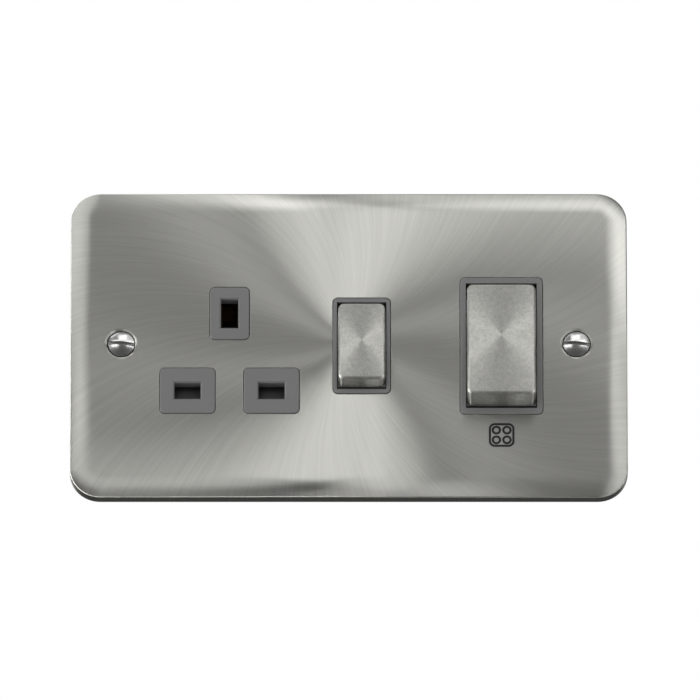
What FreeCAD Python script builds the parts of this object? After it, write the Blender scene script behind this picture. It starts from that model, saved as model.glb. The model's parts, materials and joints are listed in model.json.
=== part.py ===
import FreeCAD, Part
import math
import os

# Cooker control unit: a flush wall plate with a shuttered socket outlet, its small rocker switch and a large
# double-pole rocker switch. Millimetres. X runs right, Y into the wall and Z up. The origin is the middle of
# the plate, in the plane of the wall. What lies behind the plate is drawn about its own middle, which is a
# little lower, and is moved down to it at the end.

# Front plate: brushed sheet with a rolled edge
plate_width = 147.5
plate_height = 87.5
plate_projection = 4.2
plate_sheet = 1.2
plate_corner_radius = 8.0
plate_roll_width = 6.0
plate_roll_turn = 20.0
plate_edge_round = 0.5
cutout_edge_round = 0.2

# Fixing screws, slotted raised countersunk, and the dimples that they sit in
fixing_centres = 120.6
thread_radius = 1.75
neck_radius = 1.5
fixing_length = 25.0
fixing_head_radius = 3.5
fixing_dome = 0.9
fixing_slot_width = 1.0
fixing_slot_depth = 0.9
fixing_slot_lean = 4.0
fixing_seat_gap = 0.1
fixing_point = 1.0
dimple_radius = 4.35
dimple_depth = 0.4
dimple_wall = 1.0
dimple_gap = 0.3

# Studs welded behind the plate, and their push-on nuts
stud_radius = 1.2
stud_inset = 3.7
stud_reach = 2.0
stud_weld = 0.2
nut_radius = 3.0
nut_thickness = 0.6

# Insert moulding: panel, socket bosses and bezels
insert_proud = 0.25
insert_drop = 0.65
panel_thickness = 1.8
panel_width = 107.0
panel_height = 62.0
cutout_gap = 0.12
boss_corner_radius = 1.3
boss_edge_round = 0.25
well_depth_past_pin = 2.5

# Socket outlet for pins 22.23 apart across and down
pin_spacing = 22.23
socket_x = -31.6
socket_earth_z = 9.3
earth_pin_width = 3.97
earth_pin_height = 7.92
earth_pin_length = 22.7
line_pin_width = 6.35
line_pin_height = 3.97
line_pin_length = 17.7
hole_play = 0.6
hole_chamfer = 0.35
earth_boss_width = 10.4
earth_boss_height = 15.0
line_boss_width = 14.6
line_boss_height = 13.0

# Large rocker, which switches the cooker
cooker_x = 40.4
cooker_rocker_width = 18.3
cooker_rocker_length = 33.8
cooker_rocker_rise = 7.4
cooker_pivot_depth = 4.8
cooker_bezel_side = 1.5
cooker_bezel_end = 1.7
cooker_pin_radius = 1.25
cooker_pole_offset = 5.5
cooker_plunger_reach = 12.2
cooker_plunger_radius = 1.8
cooker_blade_length = 23.0
cooker_blade_width = 6.0
cooker_blade_thickness = 1.2

# Small rocker, which switches the socket
socket_switch_x = 3.4
socket_rocker_width = 12.6
socket_rocker_length = 23.3
socket_rocker_rise = 5.3
socket_pivot_depth = 3.5
socket_bezel_side = 1.0
socket_bezel_end = 1.2
socket_pin_radius = 1.0
socket_plunger_reach = 10.3
socket_plunger_radius = 1.6
socket_blade_length = 17.0
socket_blade_width = 5.0
socket_blade_thickness = 1.0

# What both rockers share
rocker_tilt = 8.0
blade_tilt = 6.4
rocker_side_gap = 0.25
rocker_end_gap = 0.3
rocker_edge_round = 0.8
rocker_corner_round = 1.8
rocker_dish = 0.25
rocker_draft_angle = 7.0
cap_hub_gap = 0.5
pin_end_inset = 0.3
cap_sheet = 0.6
cap_gap = 0.05
plunger_gap = 0.25
plunger_spring_length = 2.6
plunger_reach_past_sleeve = 3.4
hub_wall = 2.0
hub_floor = 1.2
flange_thickness = 0.8
flange_taper = 2.0
pocket_wall = 2.2
pocket_hub_wall = 3.2
sleeve_wall = 1.0
button_radius = 1.4
button_height = 0.7
contact_gap = 0.05
blade_corner = 1.0
waist_depth = 1.0
waist_half_length = 1.5
horn_gap = 0.2

# Strips, terminals and fits inside
strip_thickness = 1.0
strip_width = 6.0
strip_end_inset = 0.5
strip_past_button = 3.0
link_width = 4.0
link_spacing = 2.2
link_past_blade = 3.4
link_depth_step = 3.0
leg_width = 5.0
bend_run = 1.0
landing = 3.0
strap_thickness = 0.6
strap_width = 4.0
strap_inset = 11.0
strap_stud_drop = 4.5
strap_end = 2.0
strap_foot = 3.5
jaw_gap = 4.3
jaw_sheet = 0.8
jaw_flare = 1.5
jaw_lean = 0.7
line_jaw_half_width = 2.7
earth_jaw_half_width = 2.9
jaw_mouth_gap = 2.0
rivet_radius = 1.2
rivet_head_rim = 0.6
rivet_head_thickness = 0.5
rivet_tail = 2.0
terminal_width = 9.0
terminal_length = 9.5
terminal_depth = 9.5
wire_bore_radius = 2.75
wire_bore_wall = 1.1
terminal_edge_round = 0.6
terminal_edge_inset = 1.0
terminal_screw_radius = 1.7
terminal_screw_sink = 0.1
terminal_slot_depth = 0.8
terminal_slot_width = 0.7
running_gap = 0.05
seat_gap = 0.02
slot_gap = 0.2

# Shutter and its spring
shutter_thickness = 2.0
shutter_overlap = 1.0
shutter_play = 0.2
shutter_stem_width = 6.0
shutter_nose_width = 1.9
shutter_nose_depth = 5.5
shutter_nose_height = 5.0
shutter_side_overlap = 0.5
shutter_bed_room = 2.4
spring_well_depth = 3.2
spring_turns = 7
spring_wire = 0.4
spring_radius = 0.9

# Rear housing and the screws that hold it
housing_corner_radius = 2.0
housing_edge_chamfer = 0.8
housing_wall = 1.8
switch_cavity_gap = 0.8
terminal_recess = 0.6
assembly_boss_radius = 2.0
assembly_boss_length = 10.0
assembly_boss_floor = 2.0
assembly_screw_radius = 1.3
assembly_head_radius = 2.8
assembly_head_height = 2.2
assembly_head_round = 0.6
assembly_head_sink = 0.4
assembly_slot_depth = 0.8
assembly_slot_width = 0.8
assembly_stud_spacing = 7.3
assembly_upper_z = 6.0
assembly_lower_z = -14.0

V = FreeCAD.Vector
X_AXIS = V(1, 0, 0)
Y_AXIS = V(0, 1, 0)
Z_AXIS = V(0, 0, 1)

# Levels along Y, from the front to the back
face_y = -plate_projection
plate_back_y = face_y + plate_sheet
insert_face_y = face_y - insert_proud
panel_back_y = plate_back_y + panel_thickness

# Places in the plane of the wall
line_z = socket_earth_z - pin_spacing
live_x = socket_x + pin_spacing / 2
neutral_x = socket_x - pin_spacing / 2
pole_live_x = cooker_x - cooker_pole_offset
pole_neutral_x = cooker_x + cooker_pole_offset


def box(x0, x1, y0, y1, z0, z1):
    return Part.makeBox(x1 - x0, y1 - y0, z1 - z0, V(x0, y0, z0))


def rod(x, z, y0, y1, radius):
    """A round bar along Y."""
    return Part.makeCylinder(radius, y1 - y0, V(x, y0, z), Y_AXIS)


def cross_rod(x0, x1, y, z, radius):
    """A round bar along X."""
    return Part.makeCylinder(radius, x1 - x0, V(x0, y, z), X_AXIS)


def cone(x, z, y0, y1, r0, r1):
    return Part.makeCone(r0, r1, y1 - y0, V(x, y0, z), Y_AXIS)


def rounded_outline(x, z, width, height, radius, y):
    """A wire in the plane of the wall: a rectangle with round corners."""
    w = width / 2 - radius
    h = height / 2 - radius
    edges = []
    for turn in range(4):
        a = math.radians(90 * turn)
        sx = 1 if turn in (0, 3) else -1
        sz = 1 if turn in (0, 1) else -1
        centre = V(x + sx * w, y, z + sz * h)
        turns = (a, a + math.pi / 4, a + math.pi / 2)
        arc = [centre + V(math.cos(t), 0, math.sin(t)) * radius for t in turns]
        edges.append(Part.Arc(*arc).toShape())
    corners = []
    for i in range(4):
        end = edges[i].Vertexes[-1].Point
        start = edges[(i + 1) % 4].Vertexes[0].Point
        corners.append(edges[i])
        corners.append(Part.LineSegment(end, start).toShape())
    return Part.Wire(corners)


def rounded_block(x, z, width, height, radius, y0, y1):
    face = Part.Face(rounded_outline(x, z, width, height, radius, y0))
    return face.extrude(V(0, y1 - y0, 0))


def slab_yz(points, x0, x1):
    """A plate cut to an outline of (y, z) points, thick along X."""
    wire = Part.makePolygon([V(x0, y, z) for y, z in points + points[:1]])
    return Part.Face(wire).extrude(V(x1 - x0, 0, 0))


def folded_xy(points, z0, z1):
    """A strip folded along a path of (x, y) points, wide along Z, with round bends."""
    path = Part.makePolygon([V(x, y, z0) for x, y in points])
    section = path.makeOffset2D(strip_thickness / 2, 0, True, False, False)
    return section.extrude(V(0, 0, z1 - z0))


def folded_yz(points, x0, x1, thickness):
    """A strip folded along a path of (y, z) points, wide along X, with round bends."""
    path = Part.makePolygon([V(x0, y, z) for y, z in points])
    section = path.makeOffset2D(thickness / 2, 0, True, False, False)
    return section.extrude(V(x1 - x0, 0, 0))


def fuse(shapes):
    whole = shapes[0].fuse(shapes[1:]) if len(shapes) > 1 else shapes[0]
    return whole.removeSplitter()


def cut(shape, tools):
    return shape.cut(Part.makeCompound(tools))


def edges_in_plane_y(shape, y):
    """Every edge that lies wholly at the level y."""
    near = 1e-4
    return [e for e in shape.Edges if abs(e.BoundBox.YMin - y) < near and abs(e.BoundBox.YMax - y) < near]


class Switch:
    """The levels and places of one rocker switch, worked out from its driving sizes."""

    def __init__(self, x, poles, width, length, rise, pivot_depth, side, end, pin, reach, plunger, blade):
        self.x = x
        self.poles = poles
        self.half_width = width / 2
        self.half_length = length / 2
        self.rise = rise
        self.pivot_y = insert_face_y + pivot_depth
        self.pin = pin
        self.reach = reach
        self.plunger = plunger
        self.blade_length, self.blade_width, self.blade_thickness = blade
        tilt = math.radians(rocker_tilt)
        corner_y = rise - rocker_edge_round
        corner_z = self.half_length - rocker_edge_round
        self.cap_back = -(pin + running_gap + cap_hub_gap)
        self.end_slope = math.tan(math.radians(rocker_draft_angle))
        self.foot_half_length = self.half_length + self.end_slope * (rise + self.cap_back)
        corner = corner_y * math.sin(tilt) + corner_z * math.cos(tilt) + rocker_edge_round
        foot = self.foot_half_length * math.cos(tilt) - self.cap_back * math.sin(tilt)
        swing = max(corner, foot)
        self.well_width = width + 2 * rocker_side_gap
        self.well_height = 2 * (swing + rocker_end_gap)
        self.bezel_width = self.well_width + 2 * side
        self.bezel_height = self.well_height + 2 * end
        self.well_back_y = self.pivot_y + pin + well_depth_past_pin
        self.spring_start = pin + hub_floor
        self.plunger_start = self.spring_start + plunger_spring_length
        lean = math.radians(blade_tilt)
        self.blade_front_y = self.pivot_y + reach + plunger_gap
        self.blade_back_y = self.blade_front_y + self.blade_thickness
        self.edge_radius = strip_thickness / 2
        self.axis_y = self.blade_back_y + running_gap + self.edge_radius
        self.button_z = self.blade_length / 2 - button_radius
        drop = (self.button_z + button_radius) * math.sin(lean)
        proud = (button_height - running_gap - self.edge_radius) * math.cos(lean)
        self.fixed_face_y = self.axis_y + drop + proud + contact_gap
        self.strip_front_y = self.fixed_face_y + button_height
        self.strip_back_y = self.strip_front_y + strip_thickness
        self.strip_mid_y = self.strip_front_y + strip_thickness / 2
        self.floor_y = self.strip_back_y + seat_gap
        self.cavity_half_height = self.bezel_height / 2 + switch_cavity_gap
        self.cavity_half_width = self.bezel_width / 2 + switch_cavity_gap


cooker = Switch(cooker_x, [pole_live_x, pole_neutral_x], cooker_rocker_width, cooker_rocker_length,
                cooker_rocker_rise, cooker_pivot_depth, cooker_bezel_side, cooker_bezel_end,
                cooker_pin_radius, cooker_plunger_reach, cooker_plunger_radius,
                (cooker_blade_length, cooker_blade_width, cooker_blade_thickness))
socket = Switch(socket_switch_x, [socket_switch_x], socket_rocker_width, socket_rocker_length,
                socket_rocker_rise, socket_pivot_depth, socket_bezel_side, socket_bezel_end,
                socket_pin_radius, socket_plunger_reach, socket_plunger_radius,
                (socket_blade_length, socket_blade_width, socket_blade_thickness))

# Terminals behind the strips of the large switch, and the housing that ends just behind them
terminal_front_y = cooker.strip_back_y + seat_gap
terminal_back_y = terminal_front_y + terminal_depth
wire_y = terminal_front_y + wire_bore_wall + wire_bore_radius
terminal_end_z = panel_height / 2 - terminal_edge_inset
terminal_mid_z = terminal_end_z - terminal_length / 2
housing_back_y = terminal_back_y + terminal_recess
terminal_inner_z = terminal_mid_z - terminal_length / 2 - slot_gap
core_floor_y = cooker.floor_y + housing_wall
switch_step_x = socket.x - socket.cavity_half_width
earth_x = (socket.x + socket.cavity_half_width + cooker.x - cooker.cavity_half_width) / 2

# Spring contacts of the socket: their backs lie just past the pins' ends
line_tip_y = face_y + line_pin_length
earth_tip_y = face_y + earth_pin_length
line_base_y = line_tip_y + jaw_sheet
earth_base_y = earth_tip_y + jaw_sheet
line_strip_y = line_base_y + jaw_sheet + seat_gap + strip_thickness / 2
earth_strip_y = earth_base_y + jaw_sheet + seat_gap + strip_thickness / 2
line_floor_y = line_strip_y + strip_thickness / 2 + seat_gap
earth_floor_y = earth_strip_y + strip_thickness / 2 + seat_gap
socket_back_y = earth_strip_y + strip_thickness / 2 + rivet_tail + housing_wall
assembly_head_y = socket_back_y - assembly_head_height - assembly_head_sink

# Shutter travel: its top edge clears the bottom of the line and neutral holes
line_hole_width = line_pin_width + hole_play
line_hole_height = line_pin_height + hole_play
earth_hole_width = earth_pin_width + hole_play
earth_hole_height = earth_pin_height + hole_play / 2
shutter_half_width = pin_spacing / 2 + line_hole_width / 2 + shutter_side_overlap
shutter_top_z = line_z + line_hole_height / 2 + shutter_overlap
shutter_bottom_z = line_z - line_hole_height / 2 - shutter_overlap
shutter_travel = line_hole_height + shutter_overlap + shutter_play
shutter_front_y = panel_back_y + shutter_play
shutter_back_y = shutter_front_y + shutter_thickness
earth_pin_bottom_z = socket_earth_z - earth_pin_height / 2
shutter_nose_top_z = earth_pin_bottom_z + shutter_travel - shutter_play
shutter_floor_z = shutter_bottom_z - shutter_travel - shutter_bed_room
spring_seat_z = shutter_floor_z - spring_well_depth
stud_places = [(sx * (panel_width / 2 - stud_inset), sz * (panel_height / 2 - stud_inset))
               for sx in (-1, 1) for sz in (-1, 1)]
assembly_left_z = panel_height / 2 - stud_inset - assembly_stud_spacing
strap_z = strap_inset - panel_height / 2
strap_stud_z = strap_z - strap_stud_drop

# Routes of the strips that run across the housing, each in its own channel
live_link_z0 = socket.blade_length / 2 + link_past_blade
live_link_z1 = live_link_z0 + link_width
earth_link_z0 = live_link_z1 + link_spacing
earth_link_z1 = earth_link_z0 + link_width
neutral_link_z0 = earth_link_z1 + link_spacing
neutral_link_z1 = neutral_link_z0 + link_width
live_link_y = socket.fixed_face_y - strip_thickness
neutral_link_y = live_link_y - link_depth_step
strip_land_y = cooker.strip_front_y - strip_thickness / 2 - seat_gap


def plate_rim_section(half, z):
    """The rolled edge cut square: a gentle arc, a tight outer corner and a straight side, square inside."""
    turn = math.radians(plate_roll_turn)
    tight = plate_edge_round
    gentle = (plate_roll_width - tight * (1 - math.sin(turn))) / math.sin(turn)
    start = half - plate_roll_width
    c1 = V(start, face_y + gentle, z)
    c2 = c1 + V(math.sin(turn), -math.cos(turn), 0) * (gentle - tight)

    def point(centre, radius, angle):
        return centre + V(math.sin(angle), -math.cos(angle), 0) * radius

    a = point(c1, gentle, 0)
    b = point(c1, gentle, turn / 2)
    c = point(c1, gentle, turn)
    d = point(c2, tight, (turn + math.pi / 2) / 2)
    e = point(c2, tight, math.pi / 2)
    f = V(half, 0, z)
    g = V(half - plate_sheet, 0, z)
    inner = gentle - plate_sheet
    inner_turn = math.asin((plate_roll_width - plate_sheet) / inner)
    h = point(c1, inner, inner_turn)
    i = point(c1, inner, inner_turn / 2)
    j = point(c1, inner, 0)
    sides = Part.makePolygon([e, f, g, h]).Edges
    edges = [Part.Arc(a, b, c).toShape(), Part.Arc(c, d, e).toShape()] + sides
    edges += [Part.Arc(h, i, j).toShape(), Part.LineSegment(j, a).toShape()]
    return Part.Face(Part.Wire(edges))


def plate_shell():
    """A flat panel with four straight rolled edges, and corners turned about the corner centres."""
    half_w = plate_width / 2
    half_h = plate_height / 2
    run_w = half_w - plate_corner_radius
    run_h = half_h - plate_corner_radius
    flat_radius = plate_corner_radius - plate_roll_width
    panel = rounded_block(0, 0, plate_width - 2 * plate_roll_width, plate_height - 2 * plate_roll_width,
                          flat_radius, face_y, plate_back_y)
    right = plate_rim_section(half_w, -run_h).extrude(V(0, 0, 2 * run_h))
    top = plate_rim_section(half_h, -run_w).extrude(V(0, 0, 2 * run_w))
    top.rotate(V(0, 0, 0), Y_AXIS, -90)
    left = right.copy()
    left.rotate(V(0, 0, 0), Y_AXIS, 180)
    bottom = top.copy()
    bottom.rotate(V(0, 0, 0), Y_AXIS, 180)
    corners = []
    for turn in range(4):
        sx = 1 if turn in (0, 3) else -1
        sz = 1 if turn in (0, 1) else -1
        corner = plate_rim_section(plate_corner_radius, 0).revolve(V(0, 0, 0), Y_AXIS, -90)
        corner.rotate(V(0, 0, 0), Y_AXIS, -90 * turn)
        corner.translate(V(sx * run_w, 0, sz * run_h))
        corners.append(corner)
    return fuse([panel, right, top, left, bottom] + corners)


def boss_cutouts():
    """The five holes that the grey bosses and bezels come through."""
    y0 = face_y - 1
    y1 = plate_back_y + 1
    grow = 2 * cutout_gap
    radius = boss_corner_radius + cutout_gap
    tools = []
    for x, z, w, h in boss_places():
        tools.append(rounded_block(x, z - insert_drop, w + grow, h + grow, radius, y0, y1))
    return tools


def cutout_front_edges(shell):
    """The front edges of the five holes: those at the face's level that lie inside the inserts' panel."""
    half_w = panel_width / 2
    half_h = panel_height / 2
    return [e for e in edges_in_plane_y(shell, face_y)
            if max(abs(e.BoundBox.XMin), abs(e.BoundBox.XMax)) < half_w
            and max(abs(e.BoundBox.ZMin), abs(e.BoundBox.ZMax)) < half_h]


def boss_places():
    return [(socket_x, socket_earth_z, earth_boss_width, earth_boss_height),
            (live_x, line_z, line_boss_width, line_boss_height),
            (neutral_x, line_z, line_boss_width, line_boss_height),
            (socket.x, 0, socket.bezel_width, socket.bezel_height),
            (cooker.x, 0, cooker.bezel_width, cooker.bezel_height)]


def front_plate():
    shell = plate_shell()
    seat_y = face_y + dimple_depth
    head_cone = fixing_head_radius - thread_radius
    seat_end_y = seat_y + head_cone
    hole_radius = thread_radius + 2 * fixing_seat_gap
    formed = []
    holes = []
    for side in (-1, 1):
        x = side * fixing_centres / 2
        formed.append(cone(x, 0, plate_back_y - plate_sheet / 2, seat_end_y + dimple_depth,
                           fixing_head_radius + dimple_wall, hole_radius + dimple_wall))
        holes.append(cone(x, 0, face_y, seat_y, dimple_radius, fixing_head_radius + dimple_gap))
        holes.append(cone(x, 0, seat_y, seat_end_y, fixing_head_radius + dimple_gap,
                          thread_radius + fixing_seat_gap))
        holes.append(rod(x, 0, seat_y, seat_end_y + 1, hole_radius))
    shell = cut(shell, boss_cutouts())
    shell = shell.makeFillet(cutout_edge_round, cutout_front_edges(shell))
    shell = cut(fuse([shell] + formed), holes)
    root_y = plate_back_y - stud_weld
    stud_end_y = panel_back_y + stud_reach
    studs = [rod(x, z - insert_drop, root_y, stud_end_y, stud_radius) for x, z in stud_places]
    strap_stud_end_y = plate_back_y + strap_thickness + nut_thickness + stud_reach
    studs.append(rod(earth_x, strap_stud_z - insert_drop, root_y, strap_stud_end_y, stud_radius))
    return fuse([shell] + studs)


def fixing_screw(x):
    """Raised countersunk head with a slot, a thinner neck through the plate and the thread behind it."""
    seat_y = face_y + dimple_depth
    cone_end_y = seat_y + fixing_head_radius - neck_radius
    rise = fixing_dome
    sphere_radius = (fixing_head_radius ** 2 + rise ** 2) / (2 * rise)
    dome = Part.makeSphere(sphere_radius, V(x, seat_y - rise + sphere_radius, 0))
    dome = dome.common(rod(x, 0, seat_y - rise - 0.1, seat_y, fixing_head_radius))
    head = cone(x, 0, seat_y, cone_end_y, fixing_head_radius, neck_radius)
    neck = rod(x, 0, cone_end_y - 0.1, 0, neck_radius)
    tip_y = seat_y + fixing_length
    thread = rod(x, 0, -fixing_point, tip_y - fixing_point, thread_radius)
    point = cone(x, 0, tip_y - fixing_point, tip_y, thread_radius, thread_radius / 2)
    across = fixing_head_radius + 1
    slot = box(x - across, x + across, seat_y - rise - 1, seat_y - rise + fixing_slot_depth,
               -fixing_slot_width / 2, fixing_slot_width / 2)
    slot.rotate(V(x, 0, 0), Y_AXIS, fixing_slot_lean)
    return cut(fuse([dome, head, neck, thread, point]), [slot])


def push_nut(x, z, y):
    disc = rod(x, z, y, y + nut_thickness, nut_radius)
    return cut(disc, [rod(x, z, y - 1, y + nut_thickness + 1, stud_radius + running_gap)])


def bezel_block(switch):
    """One bezel and the well behind it, with the rocker's pin holes through its side walls."""
    outer = rounded_block(switch.x, 0, switch.bezel_width, switch.bezel_height, boss_corner_radius,
                          insert_face_y, switch.well_back_y)
    return outer.makeFillet(boss_edge_round, edges_in_plane_y(outer, insert_face_y))


def well_tools(switch):
    well = box(switch.x - switch.well_width / 2, switch.x + switch.well_width / 2,
               insert_face_y - 1, switch.well_back_y + 1, -switch.well_height / 2, switch.well_height / 2)
    reach = switch.bezel_width
    pin = cross_rod(switch.x - reach, switch.x + reach, switch.pivot_y, 0, switch.pin + seat_gap)
    return [well, pin]


def socket_boss(x, z, w, h):
    outer = rounded_block(x, z, w, h, boss_corner_radius, insert_face_y, panel_back_y)
    return outer.makeFillet(boss_edge_round, edges_in_plane_y(outer, insert_face_y))


def pin_hole(x, z, w, h):
    """A pin's hole with its chamfered mouth."""
    through = box(x - w / 2, x + w / 2, insert_face_y - 1, panel_back_y + 1, z - h / 2, z + h / 2)
    c = hole_chamfer
    near = Part.makePolygon([V(x + sx * (w / 2 + c), insert_face_y, z + sz * (h / 2 + c))
                             for sx, sz in ((-1, -1), (1, -1), (1, 1), (-1, 1), (-1, -1))])
    far = Part.makePolygon([V(x + sx * w / 2, insert_face_y + c, z + sz * h / 2)
                            for sx, sz in ((-1, -1), (1, -1), (1, 1), (-1, 1), (-1, -1))])
    mouth = Part.makeLoft([near, far], True, True)
    return [through, mouth]


def assembly_places():
    """Two between the left edge and the shutter's bed, and two between the earth bar and the large switch."""
    bed_left = socket_x - shutter_half_width - shutter_play
    bar_right = earth_x + strip_width / 2 + slot_gap
    left = (bed_left - panel_width / 2) / 2
    right = (bar_right + cooker.x - cooker.cavity_half_width) / 2
    return [(left, assembly_left_z), (left, -assembly_left_z),
            (right, assembly_upper_z), (right, assembly_lower_z)]


def insert_moulding():
    panel = rounded_block(0, 0, panel_width, panel_height, housing_corner_radius, plate_back_y, panel_back_y)
    solids = [panel]
    for x, z, w, h in boss_places()[:3]:
        solids.append(socket_boss(x, z, w, h))
    solids.append(bezel_block(socket))
    solids.append(bezel_block(cooker))
    for x, z in assembly_places():
        solids.append(rod(x, z, panel_back_y, panel_back_y + assembly_boss_length, assembly_boss_radius))
    tools = well_tools(socket) + well_tools(cooker)
    tools += pin_hole(socket_x, socket_earth_z, earth_hole_width, earth_hole_height)
    tools += pin_hole(live_x, line_z, line_hole_width, line_hole_height)
    tools += pin_hole(neutral_x, line_z, line_hole_width, line_hole_height)
    for x, z in stud_places:
        tools.append(rod(x, z, plate_back_y - 1, panel_back_y + 1, stud_radius + slot_gap))
    for x, z in assembly_places():
        tools.append(rod(x, z, panel_back_y + assembly_boss_floor, panel_back_y + assembly_boss_length + 1,
                         assembly_screw_radius + running_gap))
    half = strip_width / 2 + slot_gap
    tools.append(box(earth_x - half, earth_x + half, plate_back_y - 1, panel_back_y + 1,
                     strap_stud_z - nut_radius - 1, strap_z + strap_thickness + 1))
    return cut(fuse(solids), tools)


def rocker_form(switch, inset, back, fillet):
    """The rocker's capped end: drafted ends, a slightly dished face and round edges, shrunk by inset."""
    front = -(switch.rise - inset)
    half = switch.half_length - inset
    foot = half + switch.end_slope * (back - front)
    x0 = switch.x - switch.half_width + inset
    x1 = switch.x + switch.half_width - inset
    dish = Part.Arc(V(x0, front, -half), V(x0, front + rocker_dish, 0), V(x0, front, half)).toShape()
    sides = Part.makePolygon([V(x0, front, half), V(x0, back, foot), V(x0, back, -foot), V(x0, front, -half)])
    form = Part.Face(Part.Wire([dish] + sides.Edges)).extrude(V(x1 - x0, 0, 0))
    upright = [e for e in form.Edges if e.BoundBox.YLength > (back - front) / 2]
    form = form.makeFillet(rocker_corner_round - inset, upright)
    rim = [e for e in form.Edges if e.BoundBox.YMax < front + 2 * rocker_dish]
    return form.makeFillet(fillet, rim)


def place_rocker(shape, switch):
    """Moves a shape drawn about the pivot to it, and tilts it to the off position."""
    placed = shape.copy()
    placed.rotate(V(0, 0, 0), X_AXIS, -rocker_tilt)
    placed.translate(V(0, switch.pivot_y, 0))
    return placed


def rocker_cap(switch):
    outer = rocker_form(switch, 0, switch.cap_back, rocker_edge_round)
    inner = rocker_form(switch, cap_sheet, switch.cap_back, rocker_edge_round - cap_sheet)
    return place_rocker(cut(outer, [inner]), switch)


def rocker_core(switch):
    """The moulding under the cap: a plug that fills it, a flange, the pin's hub and the plungers' sleeves."""
    x0 = switch.x - switch.half_width
    x1 = switch.x + switch.half_width
    y = switch.cap_back + cap_gap
    plug = rocker_form(switch, cap_sheet + cap_gap, y, rocker_edge_round - cap_sheet)
    wide = switch.foot_half_length
    tail = switch.pin + flange_thickness
    taper = wide - flange_taper
    flange = slab_yz([(y, -wide), (y, wide), (y + tail, wide), (tail, taper), (tail, -taper),
                      (y + tail, -wide)], x0, x1)
    hub_inset = cap_sheet + cap_gap
    hub = cross_rod(x0 + hub_inset, x1 - hub_inset, 0, 0, switch.pin + hub_wall)
    sleeve_end = switch.reach - plunger_reach_past_sleeve
    outer_radius = switch.plunger + running_gap + sleeve_wall
    sleeves = [rod(x, 0, 0, sleeve_end, outer_radius) for x in switch.poles]
    core = fuse([plug, flange, hub] + sleeves)
    tools = [cross_rod(x0 - 1, x1 + 1, 0, 0, switch.pin + running_gap)]
    tools += [rod(x, 0, switch.spring_start, sleeve_end + 1, switch.plunger + running_gap)
              for x in switch.poles]
    for side in (-1, 1):
        z0 = side * (switch.pin + pocket_hub_wall)
        z1 = side * (switch.half_length - pocket_wall)
        tools.append(box(x0 + pocket_wall, x1 - pocket_wall, pocket_wall - switch.rise, tail + 1,
                         min(z0, z1), max(z0, z1)))
    return place_rocker(cut(core, tools), switch)


def plunger(switch, x):
    """A round-nosed plunger in the rocker's sleeve."""
    radius = switch.plunger
    nose = Part.makeSphere(radius, V(x, switch.reach - radius, 0))
    body = rod(x, 0, switch.plunger_start, switch.reach - radius, radius)
    return place_rocker(fuse([nose, body]), switch)


def coil(start, axis, side, length, radius, wire, turns):
    """A coil spring drawn with straight facets: a square wire carried round a helix."""
    steps = 10
    up = V(axis)
    right = V(side)
    out = up.cross(right)
    rings = []
    total = steps * turns
    for i in range(total + 1):
        a = 2 * math.pi * i / steps
        ray = right * math.cos(a) + out * math.sin(a)
        middle = start + up * (wire / 2 + (length - wire) * i / total)
        h = wire / 2
        rings.append([middle + ray * (radius + r) + up * u for r, u in ((-h, -h), (h, -h), (h, h), (-h, h))])
    faces = []
    for a, b in zip(rings, rings[1:]):
        for j in range(4):
            k = (j + 1) % 4
            faces.append(Part.Face(Part.makePolygon([a[j], a[k], b[k], a[j]])))
            faces.append(Part.Face(Part.makePolygon([a[j], b[k], b[j], a[j]])))
    for ring in (rings[0], rings[-1]):
        faces.append(Part.Face(Part.makePolygon(ring + ring[:1])))
    solid = Part.Solid(Part.Shell(faces))
    if solid.Volume < 0:
        solid.reverse()
    return solid


def plunger_spring(switch, x):
    start = V(x, switch.spring_start + seat_gap, 0)
    length = plunger_spring_length - 2 * seat_gap
    radius = switch.plunger - spring_wire
    return place_rocker(coil(start, Y_AXIS, X_AXIS, length, radius, spring_wire, 3), switch)


def rocker_pin(switch):
    half = switch.bezel_width / 2 - pin_end_inset
    return cross_rod(switch.x - half, switch.x + half, switch.pivot_y, 0, switch.pin)


def blade(switch, x):
    """A see-saw blade, waisted at its fulcrum, with a contact button at its top end, tilted to off."""
    half = switch.blade_length / 2
    wide = switch.blade_width / 2
    y0 = switch.blade_front_y
    y1 = switch.blade_back_y
    bar = box(x - wide, x + wide, y0, y1, -half, half)
    upright = [e for e in bar.Edges if e.BoundBox.YLength > switch.blade_thickness / 2]
    bar = bar.makeFillet(blade_corner, upright)
    notches = [box(x + side * wide - waist_depth, x + side * wide + waist_depth, y0 - 1, y1 + 1,
                   -waist_half_length, waist_half_length) for side in (-1, 1)]
    button = rod(x, switch.button_z, y1 - switch.blade_thickness / 2, y1 + button_height, button_radius)
    solid = fuse([cut(bar, notches), button])
    solid.rotate(V(0, switch.axis_y, 0), X_AXIS, blade_tilt)
    return solid


def fulcrum(switch, x):
    """The strip end that a blade rocks on: a round-edged wall, and a horn each side of the blade's waist."""
    r = switch.edge_radius
    wide = switch.blade_width / 2
    wall = box(x - wide, x + wide, switch.axis_y, switch.strip_mid_y, -r, r)
    edge = cross_rod(x - wide, x + wide, switch.axis_y, 0, r)
    horns = []
    for side in (-1, 1):
        a = x + side * (wide - waist_depth + horn_gap)
        b = x + side * wide
        horns.append(box(min(a, b), max(a, b), switch.blade_front_y + horn_gap, switch.axis_y, -r, r))
    return [wall, edge] + horns


def strip(x, switch, z0, z1):
    half = strip_width / 2
    return box(x - half, x + half, switch.strip_front_y, switch.strip_back_y, min(z0, z1), max(z0, z1))


def fixed_button(x, switch):
    z = switch.button_z * math.cos(math.radians(blade_tilt))
    return rod(x, z, switch.fixed_face_y, switch.strip_mid_y, button_radius)


def supply_contact(x):
    start = cooker.button_z - strip_past_button
    return fuse([strip(x, cooker, start, terminal_end_z - strip_end_inset), fixed_button(x, cooker)])


def load_fulcrum(x):
    return fuse([strip(x, cooker, cooker.edge_radius, strip_end_inset - terminal_end_z)] + fulcrum(cooker, x))


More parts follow.
